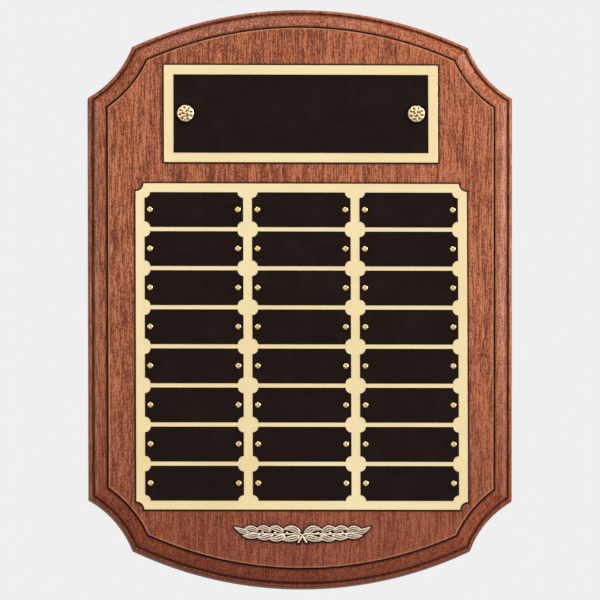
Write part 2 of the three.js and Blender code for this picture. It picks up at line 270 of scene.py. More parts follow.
class Shell:
    """Grids and flat caps gathered into one closed mesh, in face coordinates and millimetres."""

    def __init__(self) -> None:
        """Starts with nothing in it."""
        self._points: list[np.ndarray] = []
        self._marks: list[np.ndarray] = []
        self._faces: list[list[int]] = []
        self._rounded: list[np.ndarray] = []
        self._count = 0

    def _add(self, points: np.ndarray, faces: np.ndarray, mark: np.ndarray | None, rounded: bool) -> None:
        """Adds points and the faces between them.

        Args:
            points: The points.
            faces: Rows of indices into them.
            mark: One value for each point, or none.
            rounded: Whether the faces are shaded as one rounded surface.
        """
        self._points.append(points)
        self._marks.append(np.zeros(len(points)) if mark is None else mark)
        self._faces.extend((faces + self._count).tolist())
        self._rounded.append(np.full(len(faces), rounded))
        self._count += len(points)

    def grid(self, points: np.ndarray, mark: np.ndarray | None = None) -> None:
        """Joins a grid with quads, each row closed into a ring.

        Args:
            points: Rows by columns by 3. Rows that run forward have counter-clockwise columns.
            mark: A value for each row or for each point, or none.
        """
        rows, columns = points.shape[:2]
        start = np.arange(rows - 1)[:, None] * columns
        column = np.arange(columns)[None, :]
        a, b = start + column, start + (column + 1) % columns
        faces = np.stack([a, b, b + columns, a + columns], axis=-1).reshape(-1, 4)
        if mark is not None:
            mark = np.broadcast_to(mark.reshape(rows, -1), (rows, columns)).reshape(-1)
        self._add(points.reshape(-1, 3), faces, mark, True)

    def cap(
        self,
        outline: np.ndarray,
        w: float,
        holes: Sequence[np.ndarray] = (),
        rings: Sequence[Ring] = (),
        dots: np.ndarray | None = None,
    ) -> None:
        """Fills the flat region inside an outline and outside its holes with triangles.

        Args:
            outline: The region's outline.
            w: Its height.
            holes: Outlines of the holes in it.
            rings: Lines drawn on it, each with the mark that its points carry.
            dots: Rows of (u, v, mark) for loose points on it, or none.
        """
        loops = [outline, *holes, *(ring.loop for ring in rings)]
        marks = [np.zeros(len(loop)) for loop in (outline, *holes)]
        marks += [np.full(len(ring.loop), ring.mark) for ring in rings]
        edges: list[tuple[int, int]] = []
        start = 0
        for loop in loops:
            count = len(loop)
            edges += [(start + i, start + (i + 1) % count) for i in range(count)]
            start += count
        if dots is not None:
            loops.append(dots[:, :2])
            marks.append(dots[:, 2])
        mark = np.concatenate(marks)
        found = delaunay_2d_cdt([Vector(p) for p in np.concatenate(loops)], edges, [], 0, 1e-6)
        flat = np.array([tuple(p) for p in found[0]])
        faces = np.array(found[2])
        kept = np.array([max((mark[i] for i in source), default=0.0) for source in found[3]])
        middle = flat[faces].mean(axis=1)
        keep = inside(middle, outline)
        for hole in holes:
            keep &= ~inside(middle, hole)
        self._add(lift(flat, w), faces[keep], kept, False)

    def rings(self, outline: np.ndarray, profile: np.ndarray, mark: np.ndarray | None = None) -> None:
        """Carries a profile of (inset, w) rows round an outline."""
        self.grid(np.stack([lift(shrink(outline, inset), w) for inset, w in profile]), mark)

    def turned(
        self, profile: np.ndarray, steps: int, centre: Point = (0.0, 0.0), mark: np.ndarray | None = None
    ) -> None:
        """Turns a profile of (radius, w) rows about the w axis: (r cos a, r sin a, w)."""
        self.grid(polar(centre, profile[:, :1], angles(steps), profile[:, 1:]), mark)

    def plate(
        self,
        outline: np.ndarray,
        back: float,
        front: float,
        holes: Sequence[Hole] = (),
        arris: tuple[float, float] = (0.0, 0.12),
        rings: Sequence[Ring] = (),
    ) -> None:
        """A flat plate with upright edges and rounded arrises.

        Args:
            outline: Its counter-clockwise outline.
            back: Height of its back.
            front: Height of its front.
            holes: The holes through it.
            arris: Radius of the rounding at the back and at the front.
            rings: Marked lines on its front.
        """
        turn = np.linspace(0.0, math.pi / 2, 4)
        low, high = arris
        inset = np.concatenate([low * (1 - np.cos(turn[::-1])), high * (1 - np.cos(turn))])
        height = np.concatenate([back + low * (1 - np.sin(turn[::-1])), front - high * (1 - np.sin(turn))])
        share = (height - back) / (front - back)
        self.rings(outline, np.stack([inset, height], axis=1))
        rims = []
        for hole in holes:
            walls = [
                lift(shrink(hole.back * (1 - part) + hole.front * part, by), w)
                for part, by, w in zip(share, inset, height)
            ]
            self.grid(np.stack(walls))
            rims.append((walls[0][:, :2], walls[-1][:, :2]))
        self.cap(shrink(outline, inset[0]), back, [rim[0] for rim in rims])
        self.cap(shrink(outline, inset[-1]), front, [rim[1] for rim in rims], rings)

    def blind(self, loop: np.ndarray, mouth: float, floor: float, holes: Sequence[np.ndarray] = ()) -> None:
        """A blind hole: upright walls from its mouth to a flat floor, which may have holes of its own."""
        self.grid(np.stack([lift(loop, mouth), lift(loop, floor)]))
        self.cap(loop, floor, holes)

    def mesh(self, name: str) -> bpy.types.Mesh:
        """The closed mesh, in the frame's metres: (u, v, w) becomes (u, -w, v) / 1000."""
        u, v, w = (np.concatenate(self._points) * MM).T
        mesh = bpy.data.meshes.new(name)
        mesh.from_pydata(np.stack([u, -w, v], axis=1), [], self._faces)
        mesh.polygons.foreach_set("use_smooth", np.concatenate(self._rounded))
        layer = mesh.attributes.new(RECESS_AND_SHADE, "FLOAT", "POINT")
        layer.data.foreach_set("value", np.concatenate(self._marks).astype(np.float32))
        close(mesh)
        return mesh


def close(mesh: bpy.types.Mesh, gap: float = 2e-6) -> None:
    """Merges points that lie together, drops what has no area and turns the faces outwards."""
    work = bmesh.new()
    work.from_mesh(mesh)
    bmesh.ops.remove_doubles(work, verts=work.verts, dist=gap)
    bmesh.ops.dissolve_degenerate(work, edges=work.edges, dist=gap / 2)
    bmesh.ops.recalc_face_normals(work, faces=work.faces)
    work.to_mesh(mesh)
    work.free()


def show(name: str, data: bpy.types.ID) -> bpy.types.Object:
    """Puts a new object that holds the data into the scene."""
    made = bpy.data.objects.new(name, data)
    bpy.context.scene.collection.objects.link(made)
    return made


def place(
    mesh: bpy.types.Mesh,
    material: bpy.types.Material,
    slot: Slot,
    stands_for: Sequence[str] = (),
    crease: float = 32.0,
) -> bpy.types.Object:
    """Makes a mesh a piece of the plaque.

    Args:
        mesh: The finished mesh. The piece takes its name.
        material: Its finish.
        slot: The slot for that finish. It is not used.
        stands_for: CAD nodes that it is shown in place of.
        crease: Angle in degrees past which an edge stays sharp.

    Returns:
        The piece's object.
    """
    rounded = np.empty(len(mesh.polygons), dtype=bool)
    mesh.polygons.foreach_get("use_smooth", rounded)
    mesh.set_sharp_from_angle(angle=math.radians(crease))
    mesh.polygons.foreach_set("use_smooth", rounded)
    mesh.materials.append(material)
    piece = show(mesh.name, mesh)
    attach(piece, BODY)
    if stands_for:
        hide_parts(*stands_for)
    return piece


# ---------------------------------------------------------------- node trees


def tint(code: str) -> Colour:
    """A colour written as six hex digits, in linear values."""
    parts = (int(code[i : i + 2], 16) / 255 for i in (0, 2, 4))
    red, green, blue = (p / 12.92 if p <= 0.04045 else ((p + 0.055) / 1.055) ** 2.4 for p in parts)
    return red, green, blue, 1.0


class Canvas:
    """A hand on one node tree: it places nodes, sets their sockets and joins them."""

    def __init__(self, tree: bpy.types.NodeTree) -> None:
        """Clears the tree."""
        self.tree = tree
        tree.nodes.clear()

    def put(
        self, kind: str, inputs: dict[str | int, object] | None = None, **settings: object
    ) -> bpy.types.Node:
        """Places a node.

        Args:
            kind: Its type, without the leading "ShaderNode".
            inputs: What goes to its sockets, by name or number: a socket to join, or a value.
            settings: Its own properties.

        Returns:
            The node.
        """
        node = self.tree.nodes.new(kind if kind.startswith("Node") else "ShaderNode" + kind)
        for key, value in settings.items():
            setattr(node, key, value)
        self.feed(node, inputs or {})
        return node

    def feed(self, node: bpy.types.Node, inputs: dict[str | int, object]) -> None:
        """Fills a node's sockets, by name or number: a socket is joined, and any other value is set."""
        for key, value in inputs.items():
            if isinstance(value, Socket):
                self.tree.links.new(value, node.inputs[key])
            else:
                node.inputs[key].default_value = value

    def math(self, operation: str, *values: object, clamp: bool = False) -> Socket:
        """One arithmetic step on numbers or sockets."""
        return self.put("Math", dict(enumerate(values)), operation=operation, use_clamp=clamp).outputs[0]

    def remap(self, value: Socket, low: float, high: float, to: tuple[float, float] = (0.0, 1.0)) -> Socket:
        """Carries a value from low..high to another range, with smooth ends."""
        inputs = {"Value": value, "From Min": low, "From Max": high, "To Min": to[0], "To Max": to[1]}
        return self.put("MapRange", inputs, interpolation_type="SMOOTHSTEP").outputs["Result"]

    def mix(self, factor: object, a: object, b: object, blend: str = "MIX") -> Socket:
        """Mixes two colours."""
        node = self.put("Mix", {0: factor, 6: a, 7: b}, data_type="RGBA", blend_type=blend)
        return node.outputs[2]

    def ramp(self, value: Socket, stops: Sequence[tuple[float, Colour]]) -> Socket:
        """Colours a value by a ramp of (place, colour) stops."""
        node = self.put("ValToRGB", {0: value})
        for spare in list(node.color_ramp.elements)[1:]:
            node.color_ramp.elements.remove(spare)
        first = node.color_ramp.elements[0]
        first.position, first.color = stops[0]
        for place_, colour in stops[1:]:
            node.color_ramp.elements.new(place_).color = colour
        return node.outputs[0]

    def stretch(self, vector: Socket, scale: tuple[float, float, float]) -> Socket:
        """A vector scaled along each axis."""
        return self.put("Mapping", {"Vector": vector, "Scale": scale}).outputs[0]

    def noise(
        self, vector: Socket, scale: object, detail: float, rough: float = 0.5, warp: float = 0.0
    ) -> Socket:
        """A noise value, about 0.5 on average."""
        inputs = {"Vector": vector, "Scale": scale, "Detail": detail, "Roughness": rough, "Distortion": warp}
        return self.put("TexNoise", inputs).outputs[0]

    def bump(self, height: Socket, strength: float, distance: float) -> Socket:
        """A normal bent by a height that stands for a distance in metres."""
        return self.put("Bump", {"Height": height, "Strength": strength, "Distance": distance}).outputs[0]

    def recess(self) -> Socket:
        """The mesh's mark: up to 1 in grooves and hollows and in painted shade and shadow, and below 0 in a
        painted highlight on an arris.
        """
        return self.put("Attribute", attribute_name=RECESS_AND_SHADE).outputs["Fac"]

    def object_space(self) -> Socket:
        """The point on the piece, in the frame's metres."""
        return self.put("TexCoord").outputs["Object"]

    def group(self, tree: bpy.types.NodeTree, **inputs: object) -> bpy.types.Node:
        """Places a shared group. Underscores in an input's name stand for spaces."""
        node = self.put("Group")
        node.node_tree = tree
        self.feed(node, {key.replace("_", " "): value for key, value in inputs.items()})
        return node


class Effect:
    """A node group while it is being made: its sockets and its canvas."""

    def __init__(self, name: str, inputs: dict[str, float | None], outputs: dict[str, str]) -> None:
        """Makes the group.

        Args:
            name: The group's name.
            inputs: Each input and its default, or None where it is a vector.
            outputs: Each output and its kind, "Float", "Color" or "Vector".
        """
        self.tree = bpy.data.node_groups.new(name, "ShaderNodeTree")
        for key, default in inputs.items():
            kind = "NodeSocketVector" if default is None else "NodeSocketFloat"
            socket = self.tree.interface.new_socket(key, in_out="INPUT", socket_type=kind)
            if default is not None:
                socket.default_value = default
        for key, kind in outputs.items():
            self.tree.interface.new_socket(key, in_out="OUTPUT", socket_type="NodeSocket" + kind)
        self.canvas = Canvas(self.tree)
        self.into = self.canvas.put("NodeGroupInput").outputs
        self._out = self.canvas.put("NodeGroupOutput").inputs

    def give(self, **outputs: Socket) -> bpy.types.NodeTree:
        """Joins the outputs and hands the group over."""
        for key, socket in outputs.items():
            self.tree.links.new(socket, self._out[key])
        return self.tree


def long_grain() -> bpy.types.NodeTree:
    """The figure of a straight-grained wood, its grain along Z.

    Coordinates are squeezed along the grain, so each noise draws long thin marks. The board is
    shifted to a fresh part of the pattern past each glue line.
    """
    effect = Effect(
        "long_grain",
        {"Vector": None, "Streak Scale": 330.0, "Fibre Scale": 1400.0, "Pore Scale": 1000.0},
        {"Streak": "Float", "Fibre": "Float", "Pore": "Float", "Stave": "Float", "Height": "Float"},
    )
    c, into = effect.canvas, effect.into
    parts = c.put("SeparateXYZ", {0: into["Vector"]}).outputs
    glue_lines = (-0.0815, 0.0153, 0.0610)
    steps = [c.math("GREATER_THAN", parts["X"], line) for line in glue_lines]
    index = c.math("ADD", c.math("ADD", steps[0], steps[1]), steps[2])
    stave = c.put("TexWhiteNoise", {"W": c.math("MULTIPLY", index, 3.17)}, noise_dimensions="1D").outputs[0]
    shift = c.put("CombineXYZ", {"X": c.math("MULTIPLY", index, 0.37), "Z": c.math("MULTIPLY", index, 1.9)})
    moved = c.put("VectorMath", {0: into["Vector"], 1: shift.outputs[0]}, operation="ADD").outputs[0]
    sway = c.noise(c.stretch(moved, (1.0, 1.0, 0.35)), 9.0, 2.0)
    lean = c.math("MULTIPLY", c.math("SUBTRACT", sway, 0.5), 0.016)
    bent = c.put("VectorMath", {0: moved, 1: c.put("CombineXYZ", {"X": lean}).outputs[0]}, operation="ADD")
    point = bent.outputs[0]
    streak = c.noise(c.stretch(point, (1.0, 0.6, 0.03)), into["Streak Scale"], 2.0, 0.6)
    strand = c.noise(c.stretch(point, (1.0, 1.0, 0.06)), into["Fibre Scale"], 1.0)
    dash = c.noise(c.stretch(point, (1.1, 1.0, 0.62)), into["Fibre Scale"], 1.0)
    fibre = c.math("MULTIPLY", c.math("ADD", strand, dash), 0.5)
    fleck = c.noise(c.stretch(point, (1.0, 1.0, 0.075)), into["Pore Scale"], 2.0, 0.55)
    crowd = c.noise(c.stretch(point, (1.0, 1.0, 0.12)), 140.0, 2.0)
    pore = c.math("MULTIPLY", c.remap(fleck, 0.52, 0.64), c.remap(crowd, 0.32, 0.62, (0.3, 1.0)))
    vessel = c.noise(c.stretch(point, (1.0, 0.6, 0.015)), 760.0, 0.0)
    pore = c.math("MAXIMUM", pore, c.remap(vessel, 0.66, 0.78, (0.0, 0.8)))
    height = c.math("SUBTRACT", c.math("MULTIPLY", fibre, 0.35), pore)
    return effect.give(Streak=streak, Fibre=fibre, Pore=pore, Stave=stave, Height=height)


def drawn_lines() -> bpy.types.NodeTree:
    """Fine lines that a rolling or brushing left on a metal, along X.

    Noise squeezed along X, once fine and once broad, gives the lines and their uneven depth.
    """
    effect = Effect("drawn_lines", {"Vector": None, "Scale": 2600.0}, {"Lines": "Float", "Height": "Float"})
    c, into = effect.canvas, effect.into
    fine = c.noise(c.stretch(into["Vector"], (0.02, 1.0, 1.0)), into["Scale"], 2.0, 0.6)
    broad = c.noise(c.stretch(into["Vector"], (0.08, 1.0, 1.0)), c.math("MULTIPLY", into["Scale"], 0.12), 3.0)
    lines = c.math("MULTIPLY_ADD", fine, 0.65, c.math("MULTIPLY", broad, 0.35))
    return effect.give(Lines=lines, Height=lines)


def handling() -> bpy.types.NodeTree:
    """What hands and years leave on a finish: soft smudges, a slow unevenness and a few specks.

    Smudge is a broad noise with its low part cut off, Drift a slower one, and Speck the small cells
    of a point pattern whose random value is high.
    """
    effect = Effect(
        "handling",
        {"Vector": None, "Smudge Scale": 28.0, "Speck Scale": 420.0},
        {"Smudge": "Float", "Drift": "Float", "Speck": "Float"},
    )
    c, into = effect.canvas, effect.into
    broad = c.noise(into["Vector"], into["Smudge Scale"], 4.0, 0.6, 0.6)
    smudge = c.remap(broad, 0.42, 0.72)
    drift = c.noise(into["Vector"], c.math("MULTIPLY", into["Smudge Scale"], 0.22), 1.0)
    cells = c.put("TexVoronoi", {"Vector": into["Vector"], "Scale": into["Speck Scale"]})
    near = c.remap(cells.outputs["Distance"], 0.10, 0.20, (1.0, 0.0))
    rare = c.math("GREATER_THAN", c.put("SeparateColor", {0: cells.outputs["Color"]}).outputs[0], 0.93)
    return effect.give(Smudge=smudge, Drift=drift, Speck=c.math("MULTIPLY", near, rare))


@dataclass
class Effects:
    """The shared node groups, each made once."""

    grain: bpy.types.NodeTree = field(default_factory=long_grain)
    lines: bpy.types.NodeTree = field(default_factory=drawn_lines)
    handling: bpy.types.NodeTree = field(default_factory=handling)


# ---------------------------------------------------------------- finishes


def new_material(name: str) -> tuple[bpy.types.Material, Canvas, bpy.types.Node]:
    """A material with an empty canvas but for its shader, which is joined to the output."""
    material = bpy.data.materials.new(name)
    material.use_nodes = True
    canvas = Canvas(material.node_tree)
    shader = canvas.put("BsdfPrincipled")
    canvas.put("OutputMaterial", {"Surface": shader.outputs[0]})
    return material, canvas, shader


@dataclass(frozen=True)
class WalnutLacquer:
    """Red-brown walnut under a semi-gloss lacquer."""

    dark: str = "6a280c"
    middle: str = "9e4e27"
    light: str = "c4744b"
    # Painted shade: the wood is darker and redder towards its foot.
    foot_shade: str = "741f06"
    pore: str = "45170b"
    # Stain and painted shade in the grooves, and painted shadow round the plates and the spray.
    stain_and_shade: str = "1c0503"
    # Painted highlight along the face's arris.
    arris_highlight: str = "dd9660"
    end_grain: str = "7d3818"
    roughness: float = 0.32
    specular: float = 0.38
    foot_shade_share: float = 0.5

    def material(self, effects: Effects) -> bpy.types.Material:
        """Makes the finish: streaks, fibres and pores along the grain, stain and painted shade in the
        grooves, a painted shadow round the plates and the spray, and a painted highlight along the face's
        arris.

        The wood is painted redder and darker towards its foot, as painted shade where less light falls.
        """
        material, c, shader = new_material("walnut_lacquer")
        point = c.object_space()
        grain = c.group(effects.grain, Vector=point).outputs
        hands = c.group(effects.handling, Vector=point).outputs
        tone = c.math("MULTIPLY_ADD", grain["Fibre"], 0.87, c.math("MULTIPLY", grain["Streak"], 0.13))
        stave = c.math("MULTIPLY", c.math("SUBTRACT", grain["Stave"], 0.5), 0.07)
        tone = c.math("ADD", tone, stave)
        stops = ((0.425, tint(self.dark)), (0.5, tint(self.middle)), (0.575, tint(self.light)))
        colour = c.ramp(tone, stops)
        depth = c.put("SeparateXYZ", {0: point}).outputs["Z"]
        # Painted shade: darker and redder towards the foot, where less light falls.
        colour = c.mix(c.remap(depth, -0.19, 0.0, (self.foot_shade_share, 0.0)), colour, tint(self.foot_shade))
        colour = c.mix(c.math("MULTIPLY", grain["Pore"], 0.46), colour, tint(self.pore))
        normal = c.put("SeparateXYZ", {0: c.put("TexCoord").outputs["Normal"]}).outputs["Z"]
        across = c.remap(c.math("ABSOLUTE", normal), 0.45, 0.95)
        colour = c.mix(c.math("MULTIPLY", across, 0.55), colour, tint(self.end_grain))
        recess = c.recess()
        # Stain and painted shade in the grooves, and painted shadow round the plates and the spray.
        colour = c.mix(c.math("MULTIPLY", recess, 0.9, clamp=True), colour, tint(self.stain_and_shade))
        # Painted highlight: lighter where the mark is below 0, along the face's arris.
        colour = c.mix(c.math("MULTIPLY", recess, -0.5, clamp=True), colour, tint(self.arris_highlight))
        rough = c.math("MULTIPLY_ADD", grain["Pore"], 0.12, self.roughness)
        rough = c.math("MULTIPLY_ADD", hands["Smudge"], 0.05, rough)
        rough = c.math("MULTIPLY_ADD", c.math("MAXIMUM", recess, 0.0), 0.5, rough)
        bump = c.bump(grain["Height"], 0.35, 0.06 * MM)
        sockets = {"Base Color": colour, "Roughness": rough, "Normal": bump}
        c.feed(shader, sockets | {"Specular IOR Level": self.specular})
        return material


@dataclass(frozen=True)
class Metal:
    """A bare or plated metal with drawn lines and handling marks."""

    name: str
    colour: str
    shade: str
    roughness: float
    line_depth: float
    line_scale: float
    tarnish: float
    dirt: str = "6b3314"

    def material(self, effects: Effects) -> bpy.types.Material:
        """Makes the finish: its colour drifts to a deeper shade, and the lines roughen it."""
        material, c, shader = new_material(self.name)
        point = c.object_space()
        lines = c.group(effects.lines, Vector=point, Scale=self.line_scale).outputs
        hands = c.group(effects.handling, Vector=point).outputs
        deeper = c.math("MULTIPLY", c.remap(hands["Drift"], 0.3, 0.7), self.tarnish)
        colour = c.mix(deeper, tint(self.colour), tint(self.shade))
        colour = c.mix(c.math("MULTIPLY", hands["Speck"], 0.5), colour, tint(self.shade))
        dirt = c.recess()
        colour = c.mix(c.math("MULTIPLY", dirt, 0.9), colour, tint(self.dirt))
        rough = c.math("MULTIPLY_ADD", c.math("SUBTRACT", lines["Lines"], 0.5), 0.25, self.roughness)
        rough = c.math("MULTIPLY_ADD", hands["Smudge"], 0.06, rough)
        bump = c.bump(lines["Height"], 0.3, self.line_depth * MM)
        c.feed(shader, {"Base Color": colour, "Roughness": rough, "Normal": bump, "Metallic": 1.0})
        return material


@dataclass(frozen=True)
class CastGold:
    """Polished gold plating on a casting, with a brown patina left in its hollows."""

    name: str
    colour: str
    # Patina in hollows, and painted shade where the mark lies under a rim.
    patina_and_shade: str
    even: float
    roughness: float = 0.33

    def material(self, effects: Effects) -> bpy.types.Material:
        """Makes the finish: patina where the surface is hollow, painted shade where the mark lies under a
        rim, and a fine cast skin.

        The patina is as even as the finish's share says, and breaks up into blotches below that.
        """
        material, c, shader = new_material(self.name)
        point = c.object_space()
        hands = c.group(effects.handling, Vector=point, Smudge_Scale=160.0).outputs
        hollow = c.recess()
        skin = c.noise(point, 700.0, 2.0)
        kept = c.math("MULTIPLY", hollow, c.remap(skin, 0.34, 0.54, (self.even, 1.0)), clamp=True)
        # Patina in hollows; painted shade on the spray's leaf rims and undersides.
        colour = c.mix(kept, tint(self.colour), tint(self.patina_and_shade))
        rough = c.math("MULTIPLY_ADD", kept, 0.35, self.roughness)
        rough = c.math("MULTIPLY_ADD", hands["Smudge"], 0.06, rough)
        bump = c.bump(skin, 0.2, 0.03 * MM)
        c.feed(shader, {"Base Color": colour, "Roughness": rough, "Normal": bump, "Metallic": 1.0})
        return material


@dataclass(frozen=True)
class BlackLacquer:
    """Satin black lacquer on brass sheet."""

    colour: str = "180d0a"
    haze: str = "241713"
    speck: str = "4a3d36"
    # Painted shadow, near black, in the rings round the pins and tacks.
    ring_shadow: str = "0a0202"
    roughness: float = 0.5
    specular: float = 0.06

    def material(self, effects: Effects) -> bpy.types.Material:
        """Makes the finish: a faint brown haze that drifts, and the sheet's lines under it."""
        material, c, shader = new_material("black_lacquer")
        point = c.object_space()
        lines = c.group(effects.lines, Vector=point, Scale=1500.0).outputs
        hands = c.group(effects.handling, Vector=point, Smudge_Scale=60.0).outputs
        haze = c.math("MULTIPLY_ADD", hands["Smudge"], 0.5, c.math("MULTIPLY", lines["Lines"], 0.6))
        colour = c.mix(haze, tint(self.colour), tint(self.haze))
        colour = c.mix(c.math("MULTIPLY", hands["Speck"], 0.25), colour, tint(self.speck))
        # Painted shadow: the marked rings round the pins and tacks go near black.
        edge = c.recess()
        colour = c.mix(edge, colour, tint(self.ring_shadow))
        rough = c.math("MULTIPLY_ADD", lines["Lines"], 0.16, self.roughness - 0.08)
        bump = c.bump(lines["Height"], 0.25, 0.03 * MM)
        sockets = {"Base Color": colour, "Roughness": rough, "Normal": bump}
        c.feed(shader, sockets | {"Specular IOR Level": self.specular})
        return material


@dataclass
class Finishes:
    """Every finish on the plaque."""

    effects: Effects = field(default_factory=Effects)
    walnut: bpy.types.Material = field(init=False)
    satin_brass: bpy.types.Material = field(init=False)
    black: bpy.types.Material = field(init=False)
    gold: bpy.types.Material = field(init=False)
    tack_gold: bpy.types.Material = field(init=False)
    pin_gold: bpy.types.Material = field(init=False)
    zinc: bpy.types.Material = field(init=False)

    def __post_init__(self) -> None:
        """Makes the materials."""
        brass = Metal("satin_brass", "fdeab9", "f3d9a2", 0.34, 0.012, 2600.0, 0.6)
        pins = Metal("pin_brass", "fbe2a0", "dba762", 0.24, 0.005, 2600.0, 0.4, "c0601c")
        zinc = Metal("zinc_plate", "b9bcc0", "8f9398", 0.32, 0.02, 1400.0, 0.7)
        self.walnut = WalnutLacquer().material(self.effects)
        self.satin_brass = brass.material(self.effects)
        self.black = BlackLacquer().material(self.effects)
        self.gold = CastGold("cast_gold", "fff5dc", "7c300e", 0.8, 0.3).material(self.effects)
        self.tack_gold = CastGold("tack_gold", "ffe6b4", "8c3a0e", 0.8).material(self.effects)
        self.pin_gold = pins.material(self.effects)
        self.zinc = zinc.material(self.effects)


# ---------------------------------------------------------------- the board


@dataclass(frozen=True)
class Bore:
    """A round blind hole in the board's front."""

    centre: Point
    radius: float
    depth: float
    steps: int = 16


@dataclass
class Board:
    """The moulded walnut board: arched ends, scooped corners, and a routed edge all round."""

    arch_rise: float = 25.0
    scoop_width: float = 28.9
    scoop_height: float = 33.5
    scoop_depth: float = 3.9
    back_round: float = 0.8
    bead_radius: float = 2.2
    bead_lift: float = 1.3
    groove_width: float = 1.3
    groove_drop: float = 1.1
    band_start: float = 0.9
    band_width: float = 8.1
    band_drop: float = 4.6
    band_lean: float = 0.45
    quirk_width: float = 1.1
    quirk_depth: float = 2.0
    arris: float = 0.25
    # Rings along the face's arris, where a highlight is painted.
    arris_highlight_rings: tuple[tuple[float, float], ...] = ((0.3, -0.8), (0.9, 0.0))
    crease: float = 24.0
    scoop_steps: int = 26
    arch_steps: int = 44
    extent: Extent = field(default_factory=lambda: Extent.of("walnut_board"))

    def outline(self, inset: float) -> np.ndarray:
        """The outline drawn in by an inset, counter-clockwise.

        A quarter runs up the scoop and half the arch, both of which are arcs. The scoop's radius
        grows by the inset and the arch's shrinks by it, and they meet where the two circles cross.
        The quarter is mirrored to the other three.
        """
        side, crown = self.extent.size[0] / 2, self.extent.size[1] / 2
        shoulder = np.array([side - self.scoop_width, crown - self.arch_rise])
        tip = np.array([side, shoulder[1] - self.scoop_height])
        arch_radius = (shoulder[0] ** 2 + self.arch_rise**2) / (2 * self.arch_rise)
        arch_centre = np.array([0.0, crown - arch_radius])
        half_chord = np.linalg.norm(shoulder - tip) / 2
        scoop_radius = (half_chord**2 + self.scoop_depth**2) / (2 * self.scoop_depth)
        outward = np.array([self.scoop_height, self.scoop_width])
        outward /= np.linalg.norm(outward)
        scoop_centre = (shoulder + tip) / 2 + outward * (scoop_radius - self.scoop_depth)

        scoop, arch = scoop_radius + inset, arch_radius - inset
        low_u = side - inset
        low = np.array([low_u, scoop_centre[1] - math.sqrt(scoop**2 - (scoop_centre[0] - low_u) ** 2)])
        between = scoop_centre - arch_centre
        distance = np.linalg.norm(between)
        along = (arch**2 - scoop**2 + distance**2) / (2 * distance)
        aside = math.sqrt(arch**2 - along**2)
        unit = between / distance
        high = arch_centre + unit * along + np.array([-unit[1], unit[0]]) * aside
        start, end = heading(low, scoop_centre), heading(high, scoop_centre)
        up_scoop = arc(scoop_centre, scoop, start, end, self.scoop_steps)
        over = arc(arch_centre, arch, heading(high, arch_centre), math.pi / 2, self.arch_steps)
        quarter = np.concatenate([up_scoop, over[1:]])
        upper_left, lower_right = (quarter * (-1, 1))[::-1][1:], (quarter * (1, -1))[::-1][1:-1]
        return np.concatenate([quarter, upper_left, quarter * (-1, -1), lower_right])

    def profile(self) -> tuple[np.ndarray, np.ndarray]:
        """The moulded edge from the back to the flat face.

        It is a rounded back arris, a quarter-round bead, a narrow groove, a wide band whose section
        is part ellipse and part straight slope, and a fine square groove up to the face.

        Returns:
            Rows of (inset, drop below the face), and a mark for each: up to 1 where stain and shade are
            painted in and beside a groove, and -1 where a highlight is painted on the face's arris.
        """
        quarter, fine, long = (np.linspace(0.0, math.pi / 2, count) for count in (9, 5, 19))
        fine_in, fine_down = 1 - np.cos(fine), 1 - np.sin(fine)
        thickness = self.extent.size[2]
        groove = self.band_start + self.band_drop + self.groove_drop
        bead_top = groove - self.bead_lift
        foot = self.bead_radius + self.groove_width
        face = foot + self.band_width + self.quirk_width
        lip, corner, quirk_corner = 0.35, 0.25, 0.3

        def curve(inset: Values, drop: Values, mark: Values) -> np.ndarray:
            """Rows of inset, drop and mark."""
            return np.stack(np.broadcast_arrays(inset, drop, mark), axis=1)

        bead_width = self.bead_radius - lip
        ellipse, slope = 1 - np.sin(long), np.cos(long)
        band_drop = self.band_drop * ((1 - self.band_lean) * ellipse + self.band_lean * slope)
        # The marks paint shade in and beside the grooves, and a highlight (-1) on the face's arris.
        rows = [
            curve(self.back_round * fine_down, thickness - self.back_round * fine_in, 0.0),
            curve(
                bead_width * (1 - np.cos(quarter)),
                bead_top + self.bead_radius * (1 - np.sin(quarter)),
                0.0,
            ),
            curve(bead_width + lip * np.sin(fine[1:]), bead_top + lip * fine_in[1:], 0.15),
            curve([self.bead_radius, self.bead_radius + corner], [groove - corner, groove], 0.6),
            curve([foot - corner, foot], [groove, groove - corner], 0.6),
            curve(
                foot + self.band_width * (1 - slope),
                self.band_start + band_drop,
                0.45 * (1 - ease(long, 0.0, 0.55)) + 0.85 * ease(long, 1.42, 1.55),
            ),
            curve(face - self.quirk_width, [self.quirk_depth - quirk_corner, self.quirk_depth], 1.0),
            curve(face, [self.quirk_depth, self.arris * 2], 1.0),
            curve(face + self.arris * fine_in, self.arris * fine_down, -1.0),
        ]
        table = np.concatenate(rows)
        return table[:, :2], table[:, 2]

    def build(
        self,
        finishes: Finishes,
        bores: Sequence[Bore],
        hanger: "Hanger",
        rings: Sequence[Ring],
        dots: np.ndarray,
    ) -> bpy.types.Object:
        """Builds the board with the bores in its front and the hanger's pocket in its back.

        Args:
            finishes: The plaque's finishes.
            bores: The holes in its front.
            hanger: The hanger, which shapes the pocket.
            rings: Marked lines on its face, where a shadow is painted round the plates.
            dots: Marked points on its face, where a shadow is painted round the spray.

        Returns:
            The board's object.
        """
        face = self.extent.high[2]
        profile, marks = self.profile()
        shell = Shell()
        shell.grid(np.stack([lift(self.outline(inset), face - drop) for inset, drop in profile]), marks)
        mouths = []
        for bore in bores:
            loop = circle(bore.centre, bore.radius, bore.steps)
            shell.blind(loop, face, face - bore.depth)
            mouths.append(loop)
        edge = profile[-1, 0]
